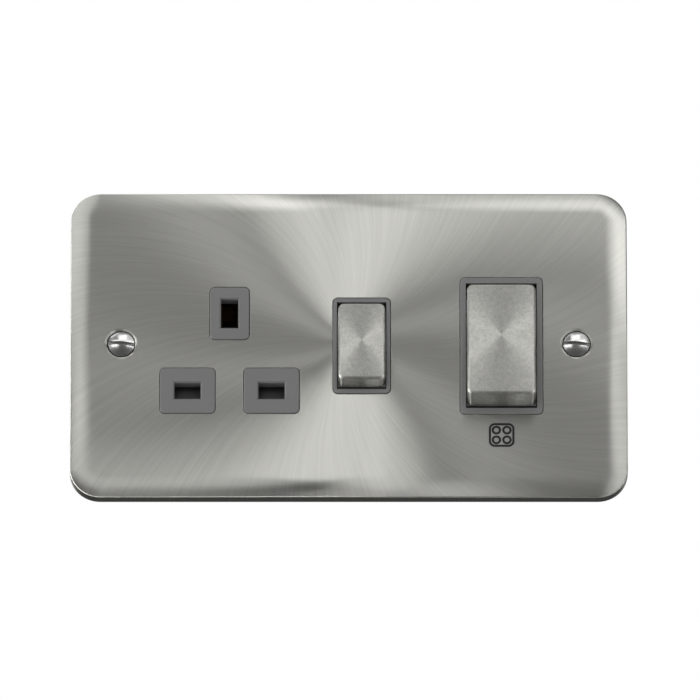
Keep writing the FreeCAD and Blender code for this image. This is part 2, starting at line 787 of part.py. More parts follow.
def live_link():
    """From the supply strip to the small switch: a pad with the fixed contact, and a folded strip to it."""
    half = socket.blade_width / 2
    pad = box(socket.x - half, socket.x + half, socket.strip_front_y, socket.strip_back_y,
              socket.button_z - button_radius - bend_run, live_link_z1)
    bend_x = socket.x + half + landing
    end_x = pole_live_x + strip_width / 2 - bend_run
    land_x = end_x - landing
    run = folded_xy([(socket.x, socket.strip_mid_y), (bend_x, socket.strip_mid_y),
                     (bend_x + bend_run, live_link_y), (land_x - bend_run, live_link_y),
                     (land_x, strip_land_y), (end_x, strip_land_y)], live_link_z0, live_link_z1)
    return fuse([pad, fixed_button(socket.x, socket), run])


def socket_live_fulcrum():
    """From the small switch's fulcrum to the back of the live jaws."""
    half = socket.blade_width / 2
    z0 = line_z - link_width / 2
    z1 = line_z + link_width / 2
    leg = box(socket.x - half, socket.x + half, socket.strip_front_y, socket.strip_back_y,
              z0, socket.edge_radius)
    bend_x = (socket.x - socket.cavity_half_width + live_x + leg_width) / 2
    run = folded_xy([(socket.x, socket.strip_mid_y), (bend_x, socket.strip_mid_y),
                     (bend_x - 2 * bend_run, line_strip_y), (live_x - leg_width / 2, line_strip_y)], z0, z1)
    whole = fuse([leg, run] + fulcrum(socket, socket.x))
    return cut(whole, [rivet_hole(live_x, line_z, line_strip_y)])


def rivet_hole(x, z, y):
    return rod(x, z, y - 3, y + 3, rivet_radius + running_gap)


def neutral_link():
    """From the supply neutral strip along the top and down to the back of the neutral jaws."""
    x0 = pole_neutral_x + strip_width / 2 - bend_run
    land_x = x0 - landing
    x1 = neutral_x + leg_width / 2
    run = folded_xy([(x0, strip_land_y), (land_x, strip_land_y), (land_x - bend_run, neutral_link_y),
                     (x1 + 2 * bend_run, neutral_link_y), (x1 + bend_run, line_strip_y),
                     (x1 - leg_width + strip_end_inset, line_strip_y)], neutral_link_z0, neutral_link_z1)
    half = strip_thickness / 2
    leg = box(neutral_x - leg_width / 2, x1, line_strip_y - half, line_strip_y + half, line_z - leg_width / 2,
              neutral_link_z1)
    return cut(fuse([run, leg]), [rivet_hole(neutral_x, line_z, line_strip_y)])


def earth_bar():
    """The bar between both earth terminals, with a branch to the back of the earth jaws."""
    end = terminal_end_z - strip_end_inset
    bar = strip(earth_x, cooker, -end, end)
    x1 = socket_x + leg_width + bend_run
    run = folded_xy([(earth_x, cooker.strip_mid_y), (x1 + 2 * bend_run, cooker.strip_mid_y),
                     (x1, earth_strip_y), (socket_x - leg_width / 2 + strip_end_inset, earth_strip_y)],
                    earth_link_z0, earth_link_z1)
    half = strip_thickness / 2
    leg = box(socket_x - leg_width / 2, socket_x + leg_width / 2, earth_strip_y - half, earth_strip_y + half,
              socket_earth_z - leg_width / 2, earth_link_z1)
    return cut(fuse([bar, run, leg]), [rivet_hole(socket_x, socket_earth_z, earth_strip_y)])


def earth_strap():
    """A thin strip from the earth bar, forward through the panel, to a stud behind the plate."""
    t = strap_thickness
    half = strap_width / 2
    y1 = cooker.strip_front_y - t / 2 - seat_gap
    y0 = plate_back_y + t / 2 + seat_gap
    shape = folded_yz([(y1, strap_z + strap_foot), (y1, strap_z), (y0, strap_z),
                       (y0, strap_stud_z - strap_end)], earth_x - half, earth_x + half, t)
    return cut(shape, [rod(earth_x, strap_stud_z, y0 - 1, y0 + 1, stud_radius + running_gap)])


def jaws(x, z, upright, tip_y, mouth_y):
    """A spring contact folded to a U: two leaves, flared at the mouth, that grip a pin's flat sides."""
    inner = jaw_gap / 2
    outer = inner + jaw_sheet
    neck_y = mouth_y + jaw_flare
    half = earth_jaw_half_width if upright else line_jaw_half_width
    leaves = []
    for side in (-1, 1):
        leaf = [(tip_y, side * inner), (tip_y, side * outer), (neck_y, side * outer),
                (mouth_y, side * (outer + jaw_lean)), (mouth_y, side * (inner + jaw_lean)),
                (neck_y, side * inner)]
        leaves.append(slab_yz(leaf, -half, half))
    base = box(-half, half, tip_y, tip_y + jaw_sheet, -outer, outer)
    shape = fuse(leaves + [base])
    shape = cut(shape, [rod(0, 0, tip_y - 1, tip_y + 2, rivet_radius + running_gap)])
    if upright:
        shape.rotate(V(0, 0, 0), Y_AXIS, 90)
    shape.translate(V(x, 0, z))
    return shape


def rivet(x, z, base_y, end_y):
    """A flat-headed rivet through a contact's base and its strip, its tail in the housing's floor."""
    head_y = base_y - rivet_head_thickness - seat_gap
    head = rod(x, z, head_y, base_y - seat_gap, rivet_radius + rivet_head_rim)
    shank = rod(x, z, head_y, end_y, rivet_radius)
    return fuse([head, shank])


def terminal(x, side):
    """A tunnel terminal: a brass block with the wire's bore along Z and its screw's thread from behind."""
    z0 = terminal_mid_z - terminal_length / 2
    block = box(x - terminal_width / 2, x + terminal_width / 2, terminal_front_y, terminal_back_y,
                z0, z0 + terminal_length)
    block = block.makeFillet(terminal_edge_round,
                             [e for e in block.Edges if e.BoundBox.ZLength > terminal_length / 2])
    bore = Part.makeCylinder(wire_bore_radius, terminal_length + 2, V(x, wire_y, z0 - 1), Z_AXIS)
    thread = rod(x, terminal_mid_z, wire_y, terminal_back_y + 1, terminal_screw_radius + running_gap)
    solid = cut(block, [bore, thread])
    return solid if side > 0 else solid.mirror(V(0, 0, 0), Z_AXIS)


def terminal_screw(x, side):
    z = side * terminal_mid_z
    y0 = wire_y + wire_bore_radius + running_gap
    y1 = terminal_back_y - terminal_screw_sink
    across = terminal_screw_radius + 1
    half = terminal_slot_width / 2
    slot = box(x - across, x + across, y1 - terminal_slot_depth, y1 + 1, z - half, z + half)
    return cut(rod(x, z, y0, y1, terminal_screw_radius), [slot])


def shutter():
    """A bar over the line and neutral holes, a stem, and a sloped nose that the earth pin pushes down."""
    bar = box(socket_x - shutter_half_width, socket_x + shutter_half_width, shutter_front_y, shutter_back_y,
              shutter_bottom_z, shutter_top_z)
    stem_top = socket_earth_z - earth_hole_height / 2 - shutter_play
    half = shutter_stem_width / 2
    stem = box(socket_x - half, socket_x + half, shutter_front_y, shutter_back_y, shutter_top_z - 1, stem_top)
    nose_end = shutter_back_y + shutter_nose_depth
    nose_half = shutter_nose_width / 2
    foot_z = stem_top - shutter_nose_height
    root_y = shutter_back_y - shutter_thickness / 2
    nose = slab_yz([(root_y, foot_z), (shutter_back_y, foot_z), (nose_end, stem_top - 1),
                    (nose_end, shutter_nose_top_z), (nose_end - 1, shutter_nose_top_z),
                    (shutter_back_y + shutter_play, stem_top + 1.2), (root_y, stem_top)],
                   socket_x - nose_half, socket_x + nose_half)
    return fuse([bar, stem, nose])


def shutter_spring():
    length = shutter_bottom_z - spring_seat_z - 2 * seat_gap
    y = (shutter_front_y + shutter_back_y) / 2
    start = V(socket_x, y, spring_seat_z + seat_gap)
    return coil(start, Z_AXIS, X_AXIS, length, spring_radius - spring_wire / 2, spring_wire, spring_turns)


def front_channels():
    """What is hollowed from the front: both switch wells, the shutter's bed, pockets and channels."""
    y0 = panel_back_y - 1
    gap = 2 * slot_gap
    tools = []
    for s in (cooker, socket):
        tools.append(box(s.x - s.cavity_half_width, s.x + s.cavity_half_width, y0, s.floor_y,
                         -s.cavity_half_height, s.cavity_half_height))
    half = strip_width / 2 + slot_gap
    for x in (pole_live_x, pole_neutral_x, earth_x):
        tools.append(box(x - half, x + half, y0, cooker.floor_y, -terminal_end_z, terminal_end_z))
    tools.append(jaw_pocket(live_x, line_z, line_floor_y))
    tools.append(jaw_pocket(neutral_x, line_z, line_floor_y))
    tools.append(jaw_pocket(socket_x, socket_earth_z, earth_floor_y))

    def channel(x0, x1, floor_y, z0, z1):
        tools.append(box(x0, x1, y0, floor_y, z0 - gap, z1 + gap))

    leg_half = leg_width / 2 + gap
    bend = 3 * bend_run
    under = strip_thickness / 2 + seat_gap
    channel(neutral_x - leg_half, neutral_x + leg_half, line_floor_y, line_z, neutral_link_z1)
    channel(neutral_x, neutral_x + leg_width / 2 + bend + gap, line_floor_y, neutral_link_z0, neutral_link_z1)
    channel(neutral_x, pole_neutral_x, neutral_link_y + under, neutral_link_z0, neutral_link_z1)
    channel(socket_x - leg_half, socket_x + leg_half, earth_floor_y, socket_earth_z, earth_link_z1)
    channel(socket_x, socket_x + leg_width + bend + gap, earth_floor_y, earth_link_z0, earth_link_z1)
    channel(socket_x, earth_x, cooker.floor_y, earth_link_z0, earth_link_z1)
    pad_half = socket.blade_width / 2 + gap
    channel(socket.x, pole_live_x, live_link_y + under, live_link_z0, live_link_z1)
    pad_right = socket.x + socket.cavity_half_width
    channel(socket.x - pad_half, pad_right, socket.floor_y, live_link_z0, live_link_z1)
    channel(live_x, socket.x + pad_half, line_floor_y, line_z - link_width / 2, line_z + link_width / 2)
    return tools + shutter_bed(y0)


def shutter_bed(y0):
    """The shutter's bed, the well of its spring and the slot for its nose."""
    half = shutter_half_width + shutter_play
    nose_back_y = shutter_back_y + shutter_nose_depth + slot_gap
    spring_y = (shutter_front_y + shutter_back_y) / 2
    spring_half = spring_radius + slot_gap
    nose_half = shutter_nose_width / 2 + slot_gap
    hole_half = earth_hole_height / 2
    return [box(socket_x - half, socket_x + half, y0, shutter_back_y + shutter_play, shutter_floor_z,
                socket_earth_z + hole_half + 1),
            box(socket_x - spring_half, socket_x + spring_half, y0, spring_y + spring_half, spring_seat_z,
                shutter_floor_z + 1),
            box(socket_x - nose_half, socket_x + nose_half, y0, nose_back_y,
                socket_earth_z - hole_half - shutter_nose_height - 1 - shutter_travel, socket_earth_z)]


def jaw_pocket_reach():
    return jaw_gap / 2 + jaw_sheet + jaw_lean + 2 * slot_gap


def jaw_pocket(x, z, floor_y):
    reach = jaw_pocket_reach()
    return box(x - reach, x + reach, panel_back_y - 1, floor_y, z - reach, z + reach)


def terminal_pockets():
    """Six pockets, open at the back for the screws and outwards for the cables."""
    half = terminal_width / 2 + slot_gap
    y0 = terminal_front_y - seat_gap
    end = panel_height / 2 + 1
    upper = [box(x - half, x + half, y0, housing_back_y + 1, terminal_inner_z, end)
             for x in (earth_x, pole_live_x, pole_neutral_x)]
    lower = [shape.mirror(V(0, 0, 0), Z_AXIS) for shape in upper]
    return upper + lower


def fastener_holes():
    """Holes for the assembly bosses, screws and heads, the studs' nuts and the rivets' tails."""
    tools = []
    boss_end = panel_back_y + assembly_boss_length + slot_gap
    for x, z in assembly_places():
        tools.append(rod(x, z, panel_back_y - 1, boss_end, assembly_boss_radius + slot_gap))
        tools.append(rod(x, z, panel_back_y, housing_back_y + 1, assembly_screw_radius + slot_gap))
        tools.append(rod(x, z, assembly_head_y, housing_back_y + 1, assembly_head_radius + slot_gap))
    stud_end = panel_back_y + stud_reach + 2 * slot_gap
    for x, z in stud_places:
        tools.append(rod(x, z, panel_back_y - 1, stud_end, nut_radius + slot_gap))
    for x, z, strip_y in rivet_places():
        tools.append(rod(x, z, panel_back_y, rivet_end_y(strip_y) + 2 * slot_gap, rivet_radius + running_gap))
    return tools


def cored_pockets(x0, x1, z0, z1, across, down):
    """Equal rectangular pockets with ribs between them, hollowed from behind to the core floor."""
    width = (x1 - x0 - (across - 1) * housing_wall) / across
    height = (z1 - z0 - (down - 1) * housing_wall) / down
    tools = []
    for i in range(across):
        for j in range(down):
            x = x0 + i * (width + housing_wall)
            z = z0 + j * (height + housing_wall)
            tools.append(box(x, x + width, core_floor_y, housing_back_y + 1, z, z + height))
    return tools


def rear_cores():
    """Pockets that keep the moulding's walls even, behind both switches and round the earth contact."""
    edge_x = panel_width / 2 - housing_wall
    edge_z = panel_height / 2 - housing_wall
    inner_z = terminal_inner_z - housing_wall
    head = assembly_head_radius + slot_gap + housing_wall
    left_screw_x = assembly_places()[0][0]
    right_screw_x = assembly_places()[2][0]
    earth_pocket = jaw_pocket_reach() + housing_wall
    earth_left_x = socket_x - earth_pocket
    earth_right_x = socket_x + leg_width + 3 * bend_run + 2 * slot_gap + housing_wall
    earth_bottom_z = socket_earth_z - earth_pocket
    bar_left_x = earth_x - terminal_width / 2 - slot_gap - housing_wall
    return (cored_pockets(right_screw_x + head, edge_x, -inner_z, inner_z, 2, 3)
            + cored_pockets(switch_step_x + housing_wall, bar_left_x, -inner_z, inner_z, 2, 3)
            + cored_pockets(left_screw_x + head, switch_step_x - housing_wall, -edge_z,
                            earth_bottom_z - housing_wall, 3, 2)
            + cored_pockets(left_screw_x + head, earth_left_x, earth_bottom_z, edge_z, 1, 2)
            + cored_pockets(earth_right_x, switch_step_x - housing_wall, earth_bottom_z, edge_z, 1, 2))


def rear_housing():
    """A block behind the panel, stepped lower behind the socket, with its rear edges chamfered."""
    y0 = panel_back_y + seat_gap
    block = rounded_block(0, 0, panel_width, panel_height, housing_corner_radius, y0, housing_back_y)
    far = panel_width
    step = box(-far, switch_step_x, socket_back_y, housing_back_y + 1, -panel_height, panel_height)
    block = cut(block, [step])
    rear = edges_in_plane_y(block, housing_back_y) + edges_in_plane_y(block, socket_back_y)
    rear = [e for e in rear if not (abs(e.BoundBox.XMin - switch_step_x) < 0.01 and e.BoundBox.XLength < 0.01
                                    and abs(e.BoundBox.YMin - socket_back_y) < 0.01)]
    block = block.makeChamfer(housing_edge_chamfer, rear)
    return cut(block, front_channels() + terminal_pockets() + fastener_holes() + rear_cores())


def assembly_screw(x, z):
    """A slotted cheese-head thread-cutting screw."""
    top_y = assembly_head_y + assembly_head_height
    head = rod(x, z, assembly_head_y + seat_gap, top_y, assembly_head_radius)
    head = head.makeFillet(assembly_head_round, edges_in_plane_y(head, top_y))
    shank = rod(x, z, panel_back_y + assembly_boss_floor + 1, assembly_head_y + assembly_head_height / 2,
                assembly_screw_radius)
    across = assembly_head_radius + 1
    half = assembly_slot_width / 2
    slot = box(x - across, x + across, top_y - assembly_slot_depth, top_y + 1, z - half, z + half)
    return cut(fuse([head, shank]), [slot])


def rivet_places():
    return [(live_x, line_z, line_strip_y), (neutral_x, line_z, line_strip_y),
            (socket_x, socket_earth_z, earth_strip_y)]


def rivet_end_y(strip_y):
    return strip_y + strip_thickness / 2 + rivet_tail


def rivets():
    base_depth = strip_thickness / 2 + seat_gap + jaw_sheet
    return Part.makeCompound([rivet(x, z, strip_y - base_depth, rivet_end_y(strip_y))
                              for x, z, strip_y in rivet_places()])


def nuts():
    corner = [push_nut(x, z, panel_back_y + seat_gap) for x, z in stud_places]
    strap = push_nut(earth_x, strap_stud_z, plate_back_y + strap_thickness + 3 * seat_gap)
    return Part.makeCompound(corner + [strap])


def all_pieces():
    """Every piece by name, in the order of assembly."""
    mouth_y = shutter_back_y + jaw_mouth_gap
    terminals = {"live": pole_live_x, "neutral": pole_neutral_x, "earth": earth_x}
    pieces = {
        "front_plate": front_plate(),
        "insert_moulding": insert_moulding(),
        "rear_housing": rear_housing(),
        "fixing_screws": Part.makeCompound([fixing_screw(side * fixing_centres / 2) for side in (-1, 1)]),
        "assembly_screws": Part.makeCompound([assembly_screw(x, z) for x, z in assembly_places()]),
        "push_nuts": nuts(),
        "cooker_rocker_pin": rocker_pin(cooker),
        "socket_rocker_pin": rocker_pin(socket),
        "cooker_rocker": rocker_core(cooker),
        "cooker_rocker_cap": rocker_cap(cooker),
        "socket_rocker": rocker_core(socket),
        "socket_rocker_cap": rocker_cap(socket),
        "cooker_plungers": Part.makeCompound([plunger(cooker, x) for x in cooker.poles]),
        "cooker_plunger_springs": Part.makeCompound([plunger_spring(cooker, x) for x in cooker.poles]),
        "socket_plunger": plunger(socket, socket.x),
        "socket_plunger_spring": plunger_spring(socket, socket.x),
        "cooker_live_blade": blade(cooker, pole_live_x),
        "cooker_neutral_blade": blade(cooker, pole_neutral_x),
        "socket_blade": blade(socket, socket.x),
        "supply_live_contact": supply_contact(pole_live_x),
        "supply_neutral_contact": supply_contact(pole_neutral_x),
        "load_live_fulcrum": load_fulcrum(pole_live_x),
        "load_neutral_fulcrum": load_fulcrum(pole_neutral_x),
        "socket_live_fulcrum": socket_live_fulcrum(),
        "live_link": live_link(),
        "neutral_link": neutral_link(),
        "earth_bar": earth_bar(),
        "earth_strap": earth_strap(),
        "live_jaws": jaws(live_x, line_z, False, line_base_y, mouth_y),
        "neutral_jaws": jaws(neutral_x, line_z, False, line_base_y, mouth_y),
        "earth_jaws": jaws(socket_x, socket_earth_z, True, earth_base_y,
                           mouth_y + shutter_nose_depth - shutter_thickness / 2),
        "contact_rivets": rivets(),
        "shutter": shutter(),
        "shutter_spring": shutter_spring(),
    }
    for name, x in terminals.items():
        pieces["supply_" + name + "_terminal"] = terminal(x, 1)
        pieces["load_" + name + "_terminal"] = terminal(x, -1)
    screws = [terminal_screw(x, side) for x in terminals.values() for side in (-1, 1)]
    pieces["terminal_screws"] = Part.makeCompound(screws)
    for name, shape in pieces.items():
        if name not in ("front_plate", "fixing_screws"):
            shape.translate(V(0, 0, -insert_drop))
    return pieces


os.makedirs("parts", exist_ok=True)
for node, shape in all_pieces().items():
    shape.exportStep("parts/" + node + ".step")
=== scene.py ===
import json
import math

import bpy
import numpy as np
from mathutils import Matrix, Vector

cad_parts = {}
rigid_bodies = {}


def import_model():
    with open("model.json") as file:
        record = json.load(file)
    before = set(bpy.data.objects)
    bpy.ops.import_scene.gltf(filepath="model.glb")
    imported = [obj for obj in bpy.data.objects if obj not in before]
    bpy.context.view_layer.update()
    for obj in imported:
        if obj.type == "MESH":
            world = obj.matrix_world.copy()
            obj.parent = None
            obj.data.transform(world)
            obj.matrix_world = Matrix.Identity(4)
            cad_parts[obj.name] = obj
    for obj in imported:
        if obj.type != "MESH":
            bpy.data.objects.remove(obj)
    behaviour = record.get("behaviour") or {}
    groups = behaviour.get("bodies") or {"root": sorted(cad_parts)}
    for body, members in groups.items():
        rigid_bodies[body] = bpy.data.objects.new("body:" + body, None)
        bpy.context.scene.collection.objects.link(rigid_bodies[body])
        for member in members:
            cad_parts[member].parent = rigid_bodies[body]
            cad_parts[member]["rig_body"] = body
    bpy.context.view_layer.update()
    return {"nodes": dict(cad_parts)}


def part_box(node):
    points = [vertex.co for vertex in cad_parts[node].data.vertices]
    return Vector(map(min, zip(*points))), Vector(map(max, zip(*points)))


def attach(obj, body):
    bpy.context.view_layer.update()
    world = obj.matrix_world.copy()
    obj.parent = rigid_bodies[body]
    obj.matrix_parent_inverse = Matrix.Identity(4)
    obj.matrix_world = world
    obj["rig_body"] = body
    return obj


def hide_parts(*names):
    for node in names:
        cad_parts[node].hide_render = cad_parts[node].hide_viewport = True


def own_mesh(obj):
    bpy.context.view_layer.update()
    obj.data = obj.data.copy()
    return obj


# Cooker control unit: a brushed steel wall plate with a switched socket outlet and a large cooker switch.
# Metres, in the frame of the CAD model: X runs right, Y into the wall and Z up.
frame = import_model()
nodes = frame["nodes"]


# Front plate. Pressed from steel sheet with rolled edges, then brushed by a wide rotary pad that turns about
# the middle of the plate, so that its strokes leave the middle like curved spokes, and lacquered. The holes
# are punched from the front. Short studs are welded behind it.
plate_steel_colours = ((0.555, 0.553, 0.520), (0.66, 0.657, 0.618))
stroke_circle = 0.18
strokes_around = 170
strokes_per_metre = 60
plate_anisotropy = 1.0
plate_rough = (0.42, 0.46)
plate_scratch_depth = 0.00003
plate_crease = 28
weld_decimals = 7
brush_bump = 0.3
broad_stroke_scale = 0.3
broad_stroke_share = 0.4
noise_low = 0.3
noise_high = 0.7
fixing_centres = 0.1206
# The steel inside the two screw seats is darkened to a share of its colour, a painted shadow of the gap round
# each screw head.
seat_radius = 0.0038
seat_edge = 0.0001
seat_painted_shadow = 0.06


def welded_copy(node, crease):
    """The triangles of a CAD node with equal corners made one, and smooth where two of them meet at less than
    the crease angle, in degrees."""
    source = nodes[node].data
    corners = np.empty(len(source.vertices) * 3)
    source.vertices.foreach_get("co", corners)
    rounded = corners.reshape(-1, 3).round(weld_decimals)
    places, shared = np.unique(rounded, axis=0, return_inverse=True)
    used = np.empty(len(source.loops), dtype=int)
    source.loops.foreach_get("vertex_index", used)
    triangles = shared.ravel()[used].reshape(-1, 3)
    a, b, c = triangles.T
    triangles = triangles[(a != b) & (b != c) & (c != a)]
    mesh = bpy.data.meshes.new(node + "_smooth")
    mesh.from_pydata(places, [], triangles)
    mesh.validate()
    mesh.shade_smooth()
    mesh.set_sharp_from_angle(angle=math.radians(crease))
    return mesh


def put_on_body(mesh, body, material):
    """Makes an object of the mesh that rides on the body and wears the material."""
    piece = bpy.data.objects.new(mesh.name, mesh)
    bpy.context.scene.collection.objects.link(piece)
    mesh.materials.append(material)
    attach(piece, body)
    return piece


def smooth_finish(node, material, crease):
    """Shows a welded copy of a CAD node in its place, with flat faces kept flat by weighted normals."""
    piece = put_on_body(welded_copy(node, crease), nodes[node]["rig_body"], material)
    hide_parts(node)
    weighted = piece.modifiers.new("flat_faces_stay_flat", "WEIGHTED_NORMAL")
    weighted.keep_sharp = True
    return piece


def shader_node(tree, kind, inputs=None, **settings):
    """Adds a shader node, sets its properties, and fills or links its inputs."""
    made = tree.nodes.new("ShaderNode" + kind)
    for name, value in settings.items():
        setattr(made, name, value)
    for socket, value in (inputs or {}).items():
        if isinstance(value, bpy.types.NodeSocket):
            tree.links.new(value, made.inputs[socket])
        else:
            made.inputs[socket].default_value = value
    return made


def new_material(name, colour, metallic, roughness):
    """A material of one Principled shader, with its plain values on the shader's own sockets."""
    material = bpy.data.materials.new(name)
    material.use_nodes = True
    shader = material.node_tree.nodes["Principled BSDF"]
    shader.inputs["Base Color"].default_value = (*colour, 1)
    shader.inputs["Metallic"].default_value = metallic
    shader.inputs["Roughness"].default_value = roughness
    return material


def two_colours(tree, factor, low, high):
    """A colour that runs from low to high as the factor runs from 0 to 1."""
    ramp = shader_node(tree, "ValToRGB", {"Fac": factor})
    ramp.color_ramp.elements[0].color = (*low, 1)
    ramp.color_ramp.elements[1].color = (*high, 1)
    return ramp.outputs["Color"]


def two_values(tree, factor, low, high):
    """A value that runs from low to high as the factor runs from 0 to 1."""
    return shader_node(tree, "MapRange", {"Value": factor, "To Min": low, "To Max": high}).outputs["Result"]


def full_range(tree, noise):
    """A noise, which keeps near its middle, stretched to run from 0 to 1."""
    spread = shader_node(tree, "MapRange", {"Value": noise, "From Min": noise_low, "From Max": noise_high})
    return spread.outputs["Result"]


def brush_marks_group():
    """Strokes of a brush, fine and broad: two noises at a place that the material has stretched along the
    strokes."""
    group = bpy.data.node_groups.new("brush_marks", "ShaderNodeTree")
    group.interface.new_socket("Place", in_out="INPUT", socket_type="NodeSocketVector")
    group.interface.new_socket("Mark", in_out="OUTPUT", socket_type="NodeSocketFloat")
    place = group.nodes.new("NodeGroupInput").outputs["Place"]
    fine = shader_node(group, "TexNoise", {"Vector": place, "Scale": 1.0, "Detail": 2.0})
    broad = shader_node(group, "TexNoise", {"Vector": place, "Scale": broad_stroke_scale, "Detail": 1.0})
    both = shader_node(group, "Mix", {"Factor": broad_stroke_share, "A": fine.outputs["Fac"],
                                      "B": broad.outputs["Fac"]})
    spread = full_range(group, both.outputs["Result"])
    out = group.nodes.new("NodeGroupOutput")
    group.links.new(spread, out.inputs["Mark"])
    return group


def flat_place(tree, centre_x, centre_z):
    """The place on the piece seen from the front, measured from a centre, as a vector with no depth."""
    place = shader_node(tree, "TexCoord").outputs["Object"]
    moved = shader_node(tree, "VectorMath", {0: place, 1: (centre_x, 0, centre_z)}, operation="SUBTRACT")
    flat = shader_node(tree, "VectorMath", {0: moved.outputs[0], 1: (1, 0, 1)}, operation="MULTIPLY")
    return flat.outputs[0]


def turned(tree, vector, angle):
    """The vector turned about the depth axis, clockwise as seen from the front."""
    rotate = shader_node(tree, "VectorRotate", {"Vector": vector, "Axis": (0, 1, 0), "Angle": angle})
    return rotate.outputs[0]


def brushed_steel(name, colours, place, across, roughness, anisotropy, depth):
    """Steel whose highlight spreads across the strokes, with the strokes in its colour, gloss and bump."""
    material = new_material(name, colours[1], 1.0, roughness[0])
    tree = material.node_tree
    shader = tree.nodes["Principled BSDF"]
    shader.inputs["Anisotropic"].default_value = anisotropy
    marks = shader_node(tree, "Group", node_tree=bpy.data.node_groups["brush_marks"])
    tree.links.new(place(tree), marks.inputs["Place"])
    mark = marks.outputs["Mark"]
    tree.links.new(two_colours(tree, mark, *colours), shader.inputs["Base Color"])
    tree.links.new(two_values(tree, mark, *roughness), shader.inputs["Roughness"])
    tree.links.new(across(tree), shader.inputs["Tangent"])
    bump = shader_node(tree, "Bump", {"Height": mark, "Strength": brush_bump, "Distance": depth})
    tree.links.new(bump.outputs["Normal"], shader.inputs["Normal"])
    return material


def stroke_lean(tree, flat):
    """The radius of a place, and how far the stroke there leans from the line to the middle. It is an arc of
    a circle through the middle, so the lean is the arcsine of the radius over the circle's diameter."""
    radius = shader_node(tree, "VectorMath", {0: flat}, operation="LENGTH").outputs["Value"]
    share = shader_node(tree, "Math", {0: radius, 1: stroke_circle}, operation="DIVIDE").outputs[0]
    lean = shader_node(tree, "Math", {0: share}, operation="ARCSINE").outputs[0]
    return radius, lean


def swirl_place(tree):
    """The stroke that a point lies on: its direction from the middle, turned back by the stroke's lean, which
    stays the same along a stroke. The radius counts a little, which ends each stroke."""
    flat = flat_place(tree, 0, 0)
    radius, lean = stroke_lean(tree, flat)
    spoke = shader_node(tree, "VectorMath", {0: turned(tree, flat, lean)}, operation="NORMALIZE").outputs[0]
    wide = shader_node(tree, "VectorMath", {0: spoke, "Scale": strokes_around}, operation="SCALE").outputs[0]
    along = shader_node(tree, "Math", {0: radius, 1: strokes_per_metre}, operation="MULTIPLY").outputs[0]
    step = shader_node(tree, "CombineXYZ", {"Y": along}).outputs[0]
    return shader_node(tree, "VectorMath", {0: wide, 1: step}, operation="ADD").outputs[0]


def across_swirl(tree):
    """The direction square to the strokes."""
    flat = flat_place(tree, 0, 0)
    lean = stroke_lean(tree, flat)[1]
    angle = shader_node(tree, "Math", {0: -math.pi / 2, 1: lean}, operation="SUBTRACT").outputs[0]
    return turned(tree, flat, angle)


def paint_seat_shadows(material):
    """Darkens the steel inside the seats of the two fixing screws: a painted shadow of the gap round each
    head.
    """
    tree = material.node_tree
    base = tree.nodes["Principled BSDF"].inputs["Base Color"]
    brushed = base.links[0].from_socket
    place = shader_node(tree, "TexCoord").outputs["Object"]
    mirrored = shader_node(tree, "VectorMath", {0: place}, operation="ABSOLUTE").outputs[0]
    seat = (fixing_centres / 2, 0, 0)
    moved = shader_node(tree, "VectorMath", {0: mirrored, 1: seat}, operation="SUBTRACT").outputs[0]
    flat = shader_node(tree, "VectorMath", {0: moved, 1: (1, 0, 1)}, operation="MULTIPLY").outputs[0]
    radius = shader_node(tree, "VectorMath", {0: flat}, operation="LENGTH").outputs["Value"]
    outside = shader_node(tree, "MapRange", {"Value": radius, "From Min": seat_radius - seat_edge,
                                             "From Max": seat_radius + seat_edge, "To Min": seat_painted_shadow})
    shade = outside.outputs["Result"]
    shaded = shader_node(tree, "VectorMath", {0: brushed, "Scale": shade}, operation="SCALE").outputs[0]
    tree.links.new(shaded, base)


brush_marks_group()
plate_steel = brushed_steel("plate_brushed_steel", plate_steel_colours, swirl_place, across_swirl,
                            plate_rough, plate_anisotropy, plate_scratch_depth)
paint_seat_shadows(plate_steel)
smooth_finish("front_plate", plate_steel, plate_crease)


# Insert moulding. One grey thermoset moulding with the three socket bosses and both switch bezels. It is
# compression moulded in a tool with a fine satin grain, and pushed through the plate from behind.
insert_grey = (0.175, 0.175, 0.175)
insert_rough = 0.42
moulded_crease = 35
mould_bump = 0.3
grain_size = 0.00035
grain_depth = 0.000008
cloud_size = 0.0175
cloud_change = 0.05


def moulded_grain_group():
    """The grain of a satin mould: fine noise with a broader cloud under it."""
    group = bpy.data.node_groups.new("moulded_grain", "ShaderNodeTree")
    group.interface.new_socket("Grain", in_out="OUTPUT", socket_type="NodeSocketFloat")
    group.interface.new_socket("Cloud", in_out="OUTPUT", socket_type="NodeSocketFloat")
    place = shader_node(group, "TexCoord").outputs["Object"]
    grain = shader_node(group, "TexNoise", {"Vector": place, "Scale": 1 / grain_size, "Detail": 2.0})
    cloud = shader_node(group, "TexNoise", {"Vector": place, "Scale": 1 / cloud_size, "Detail": 3.0})
    out = group.nodes.new("NodeGroupOutput")
    group.links.new(grain.outputs["Fac"], out.inputs["Grain"])
    group.links.new(cloud.outputs["Fac"], out.inputs["Cloud"])
    return group


def moulded_plastic(name, colour, roughness, bump_strength):
    """A moulded plastic with the mould's grain in its bump, and a slight cloud in its colour and gloss."""
    material = new_material(name, colour, 0.0, roughness)
    tree = material.node_tree
    shader = tree.nodes["Principled BSDF"]
    group = shader_node(tree, "Group", node_tree=bpy.data.node_groups["moulded_grain"])
    cloud = group.outputs["Cloud"]
    low = tuple((1 - cloud_change) * value for value in colour)
    high = tuple((1 + cloud_change) * value for value in colour)
    gloss = two_values(tree, cloud, roughness - cloud_change, roughness + cloud_change)
    tree.links.new(two_colours(tree, cloud, low, high), shader.inputs["Base Color"])
    tree.links.new(gloss, shader.inputs["Roughness"])
    bump = shader_node(tree, "Bump", {"Height": group.outputs["Grain"], "Strength": bump_strength,
                                      "Distance": grain_depth})
    tree.links.new(bump.outputs["Normal"], shader.inputs["Normal"])
    return material


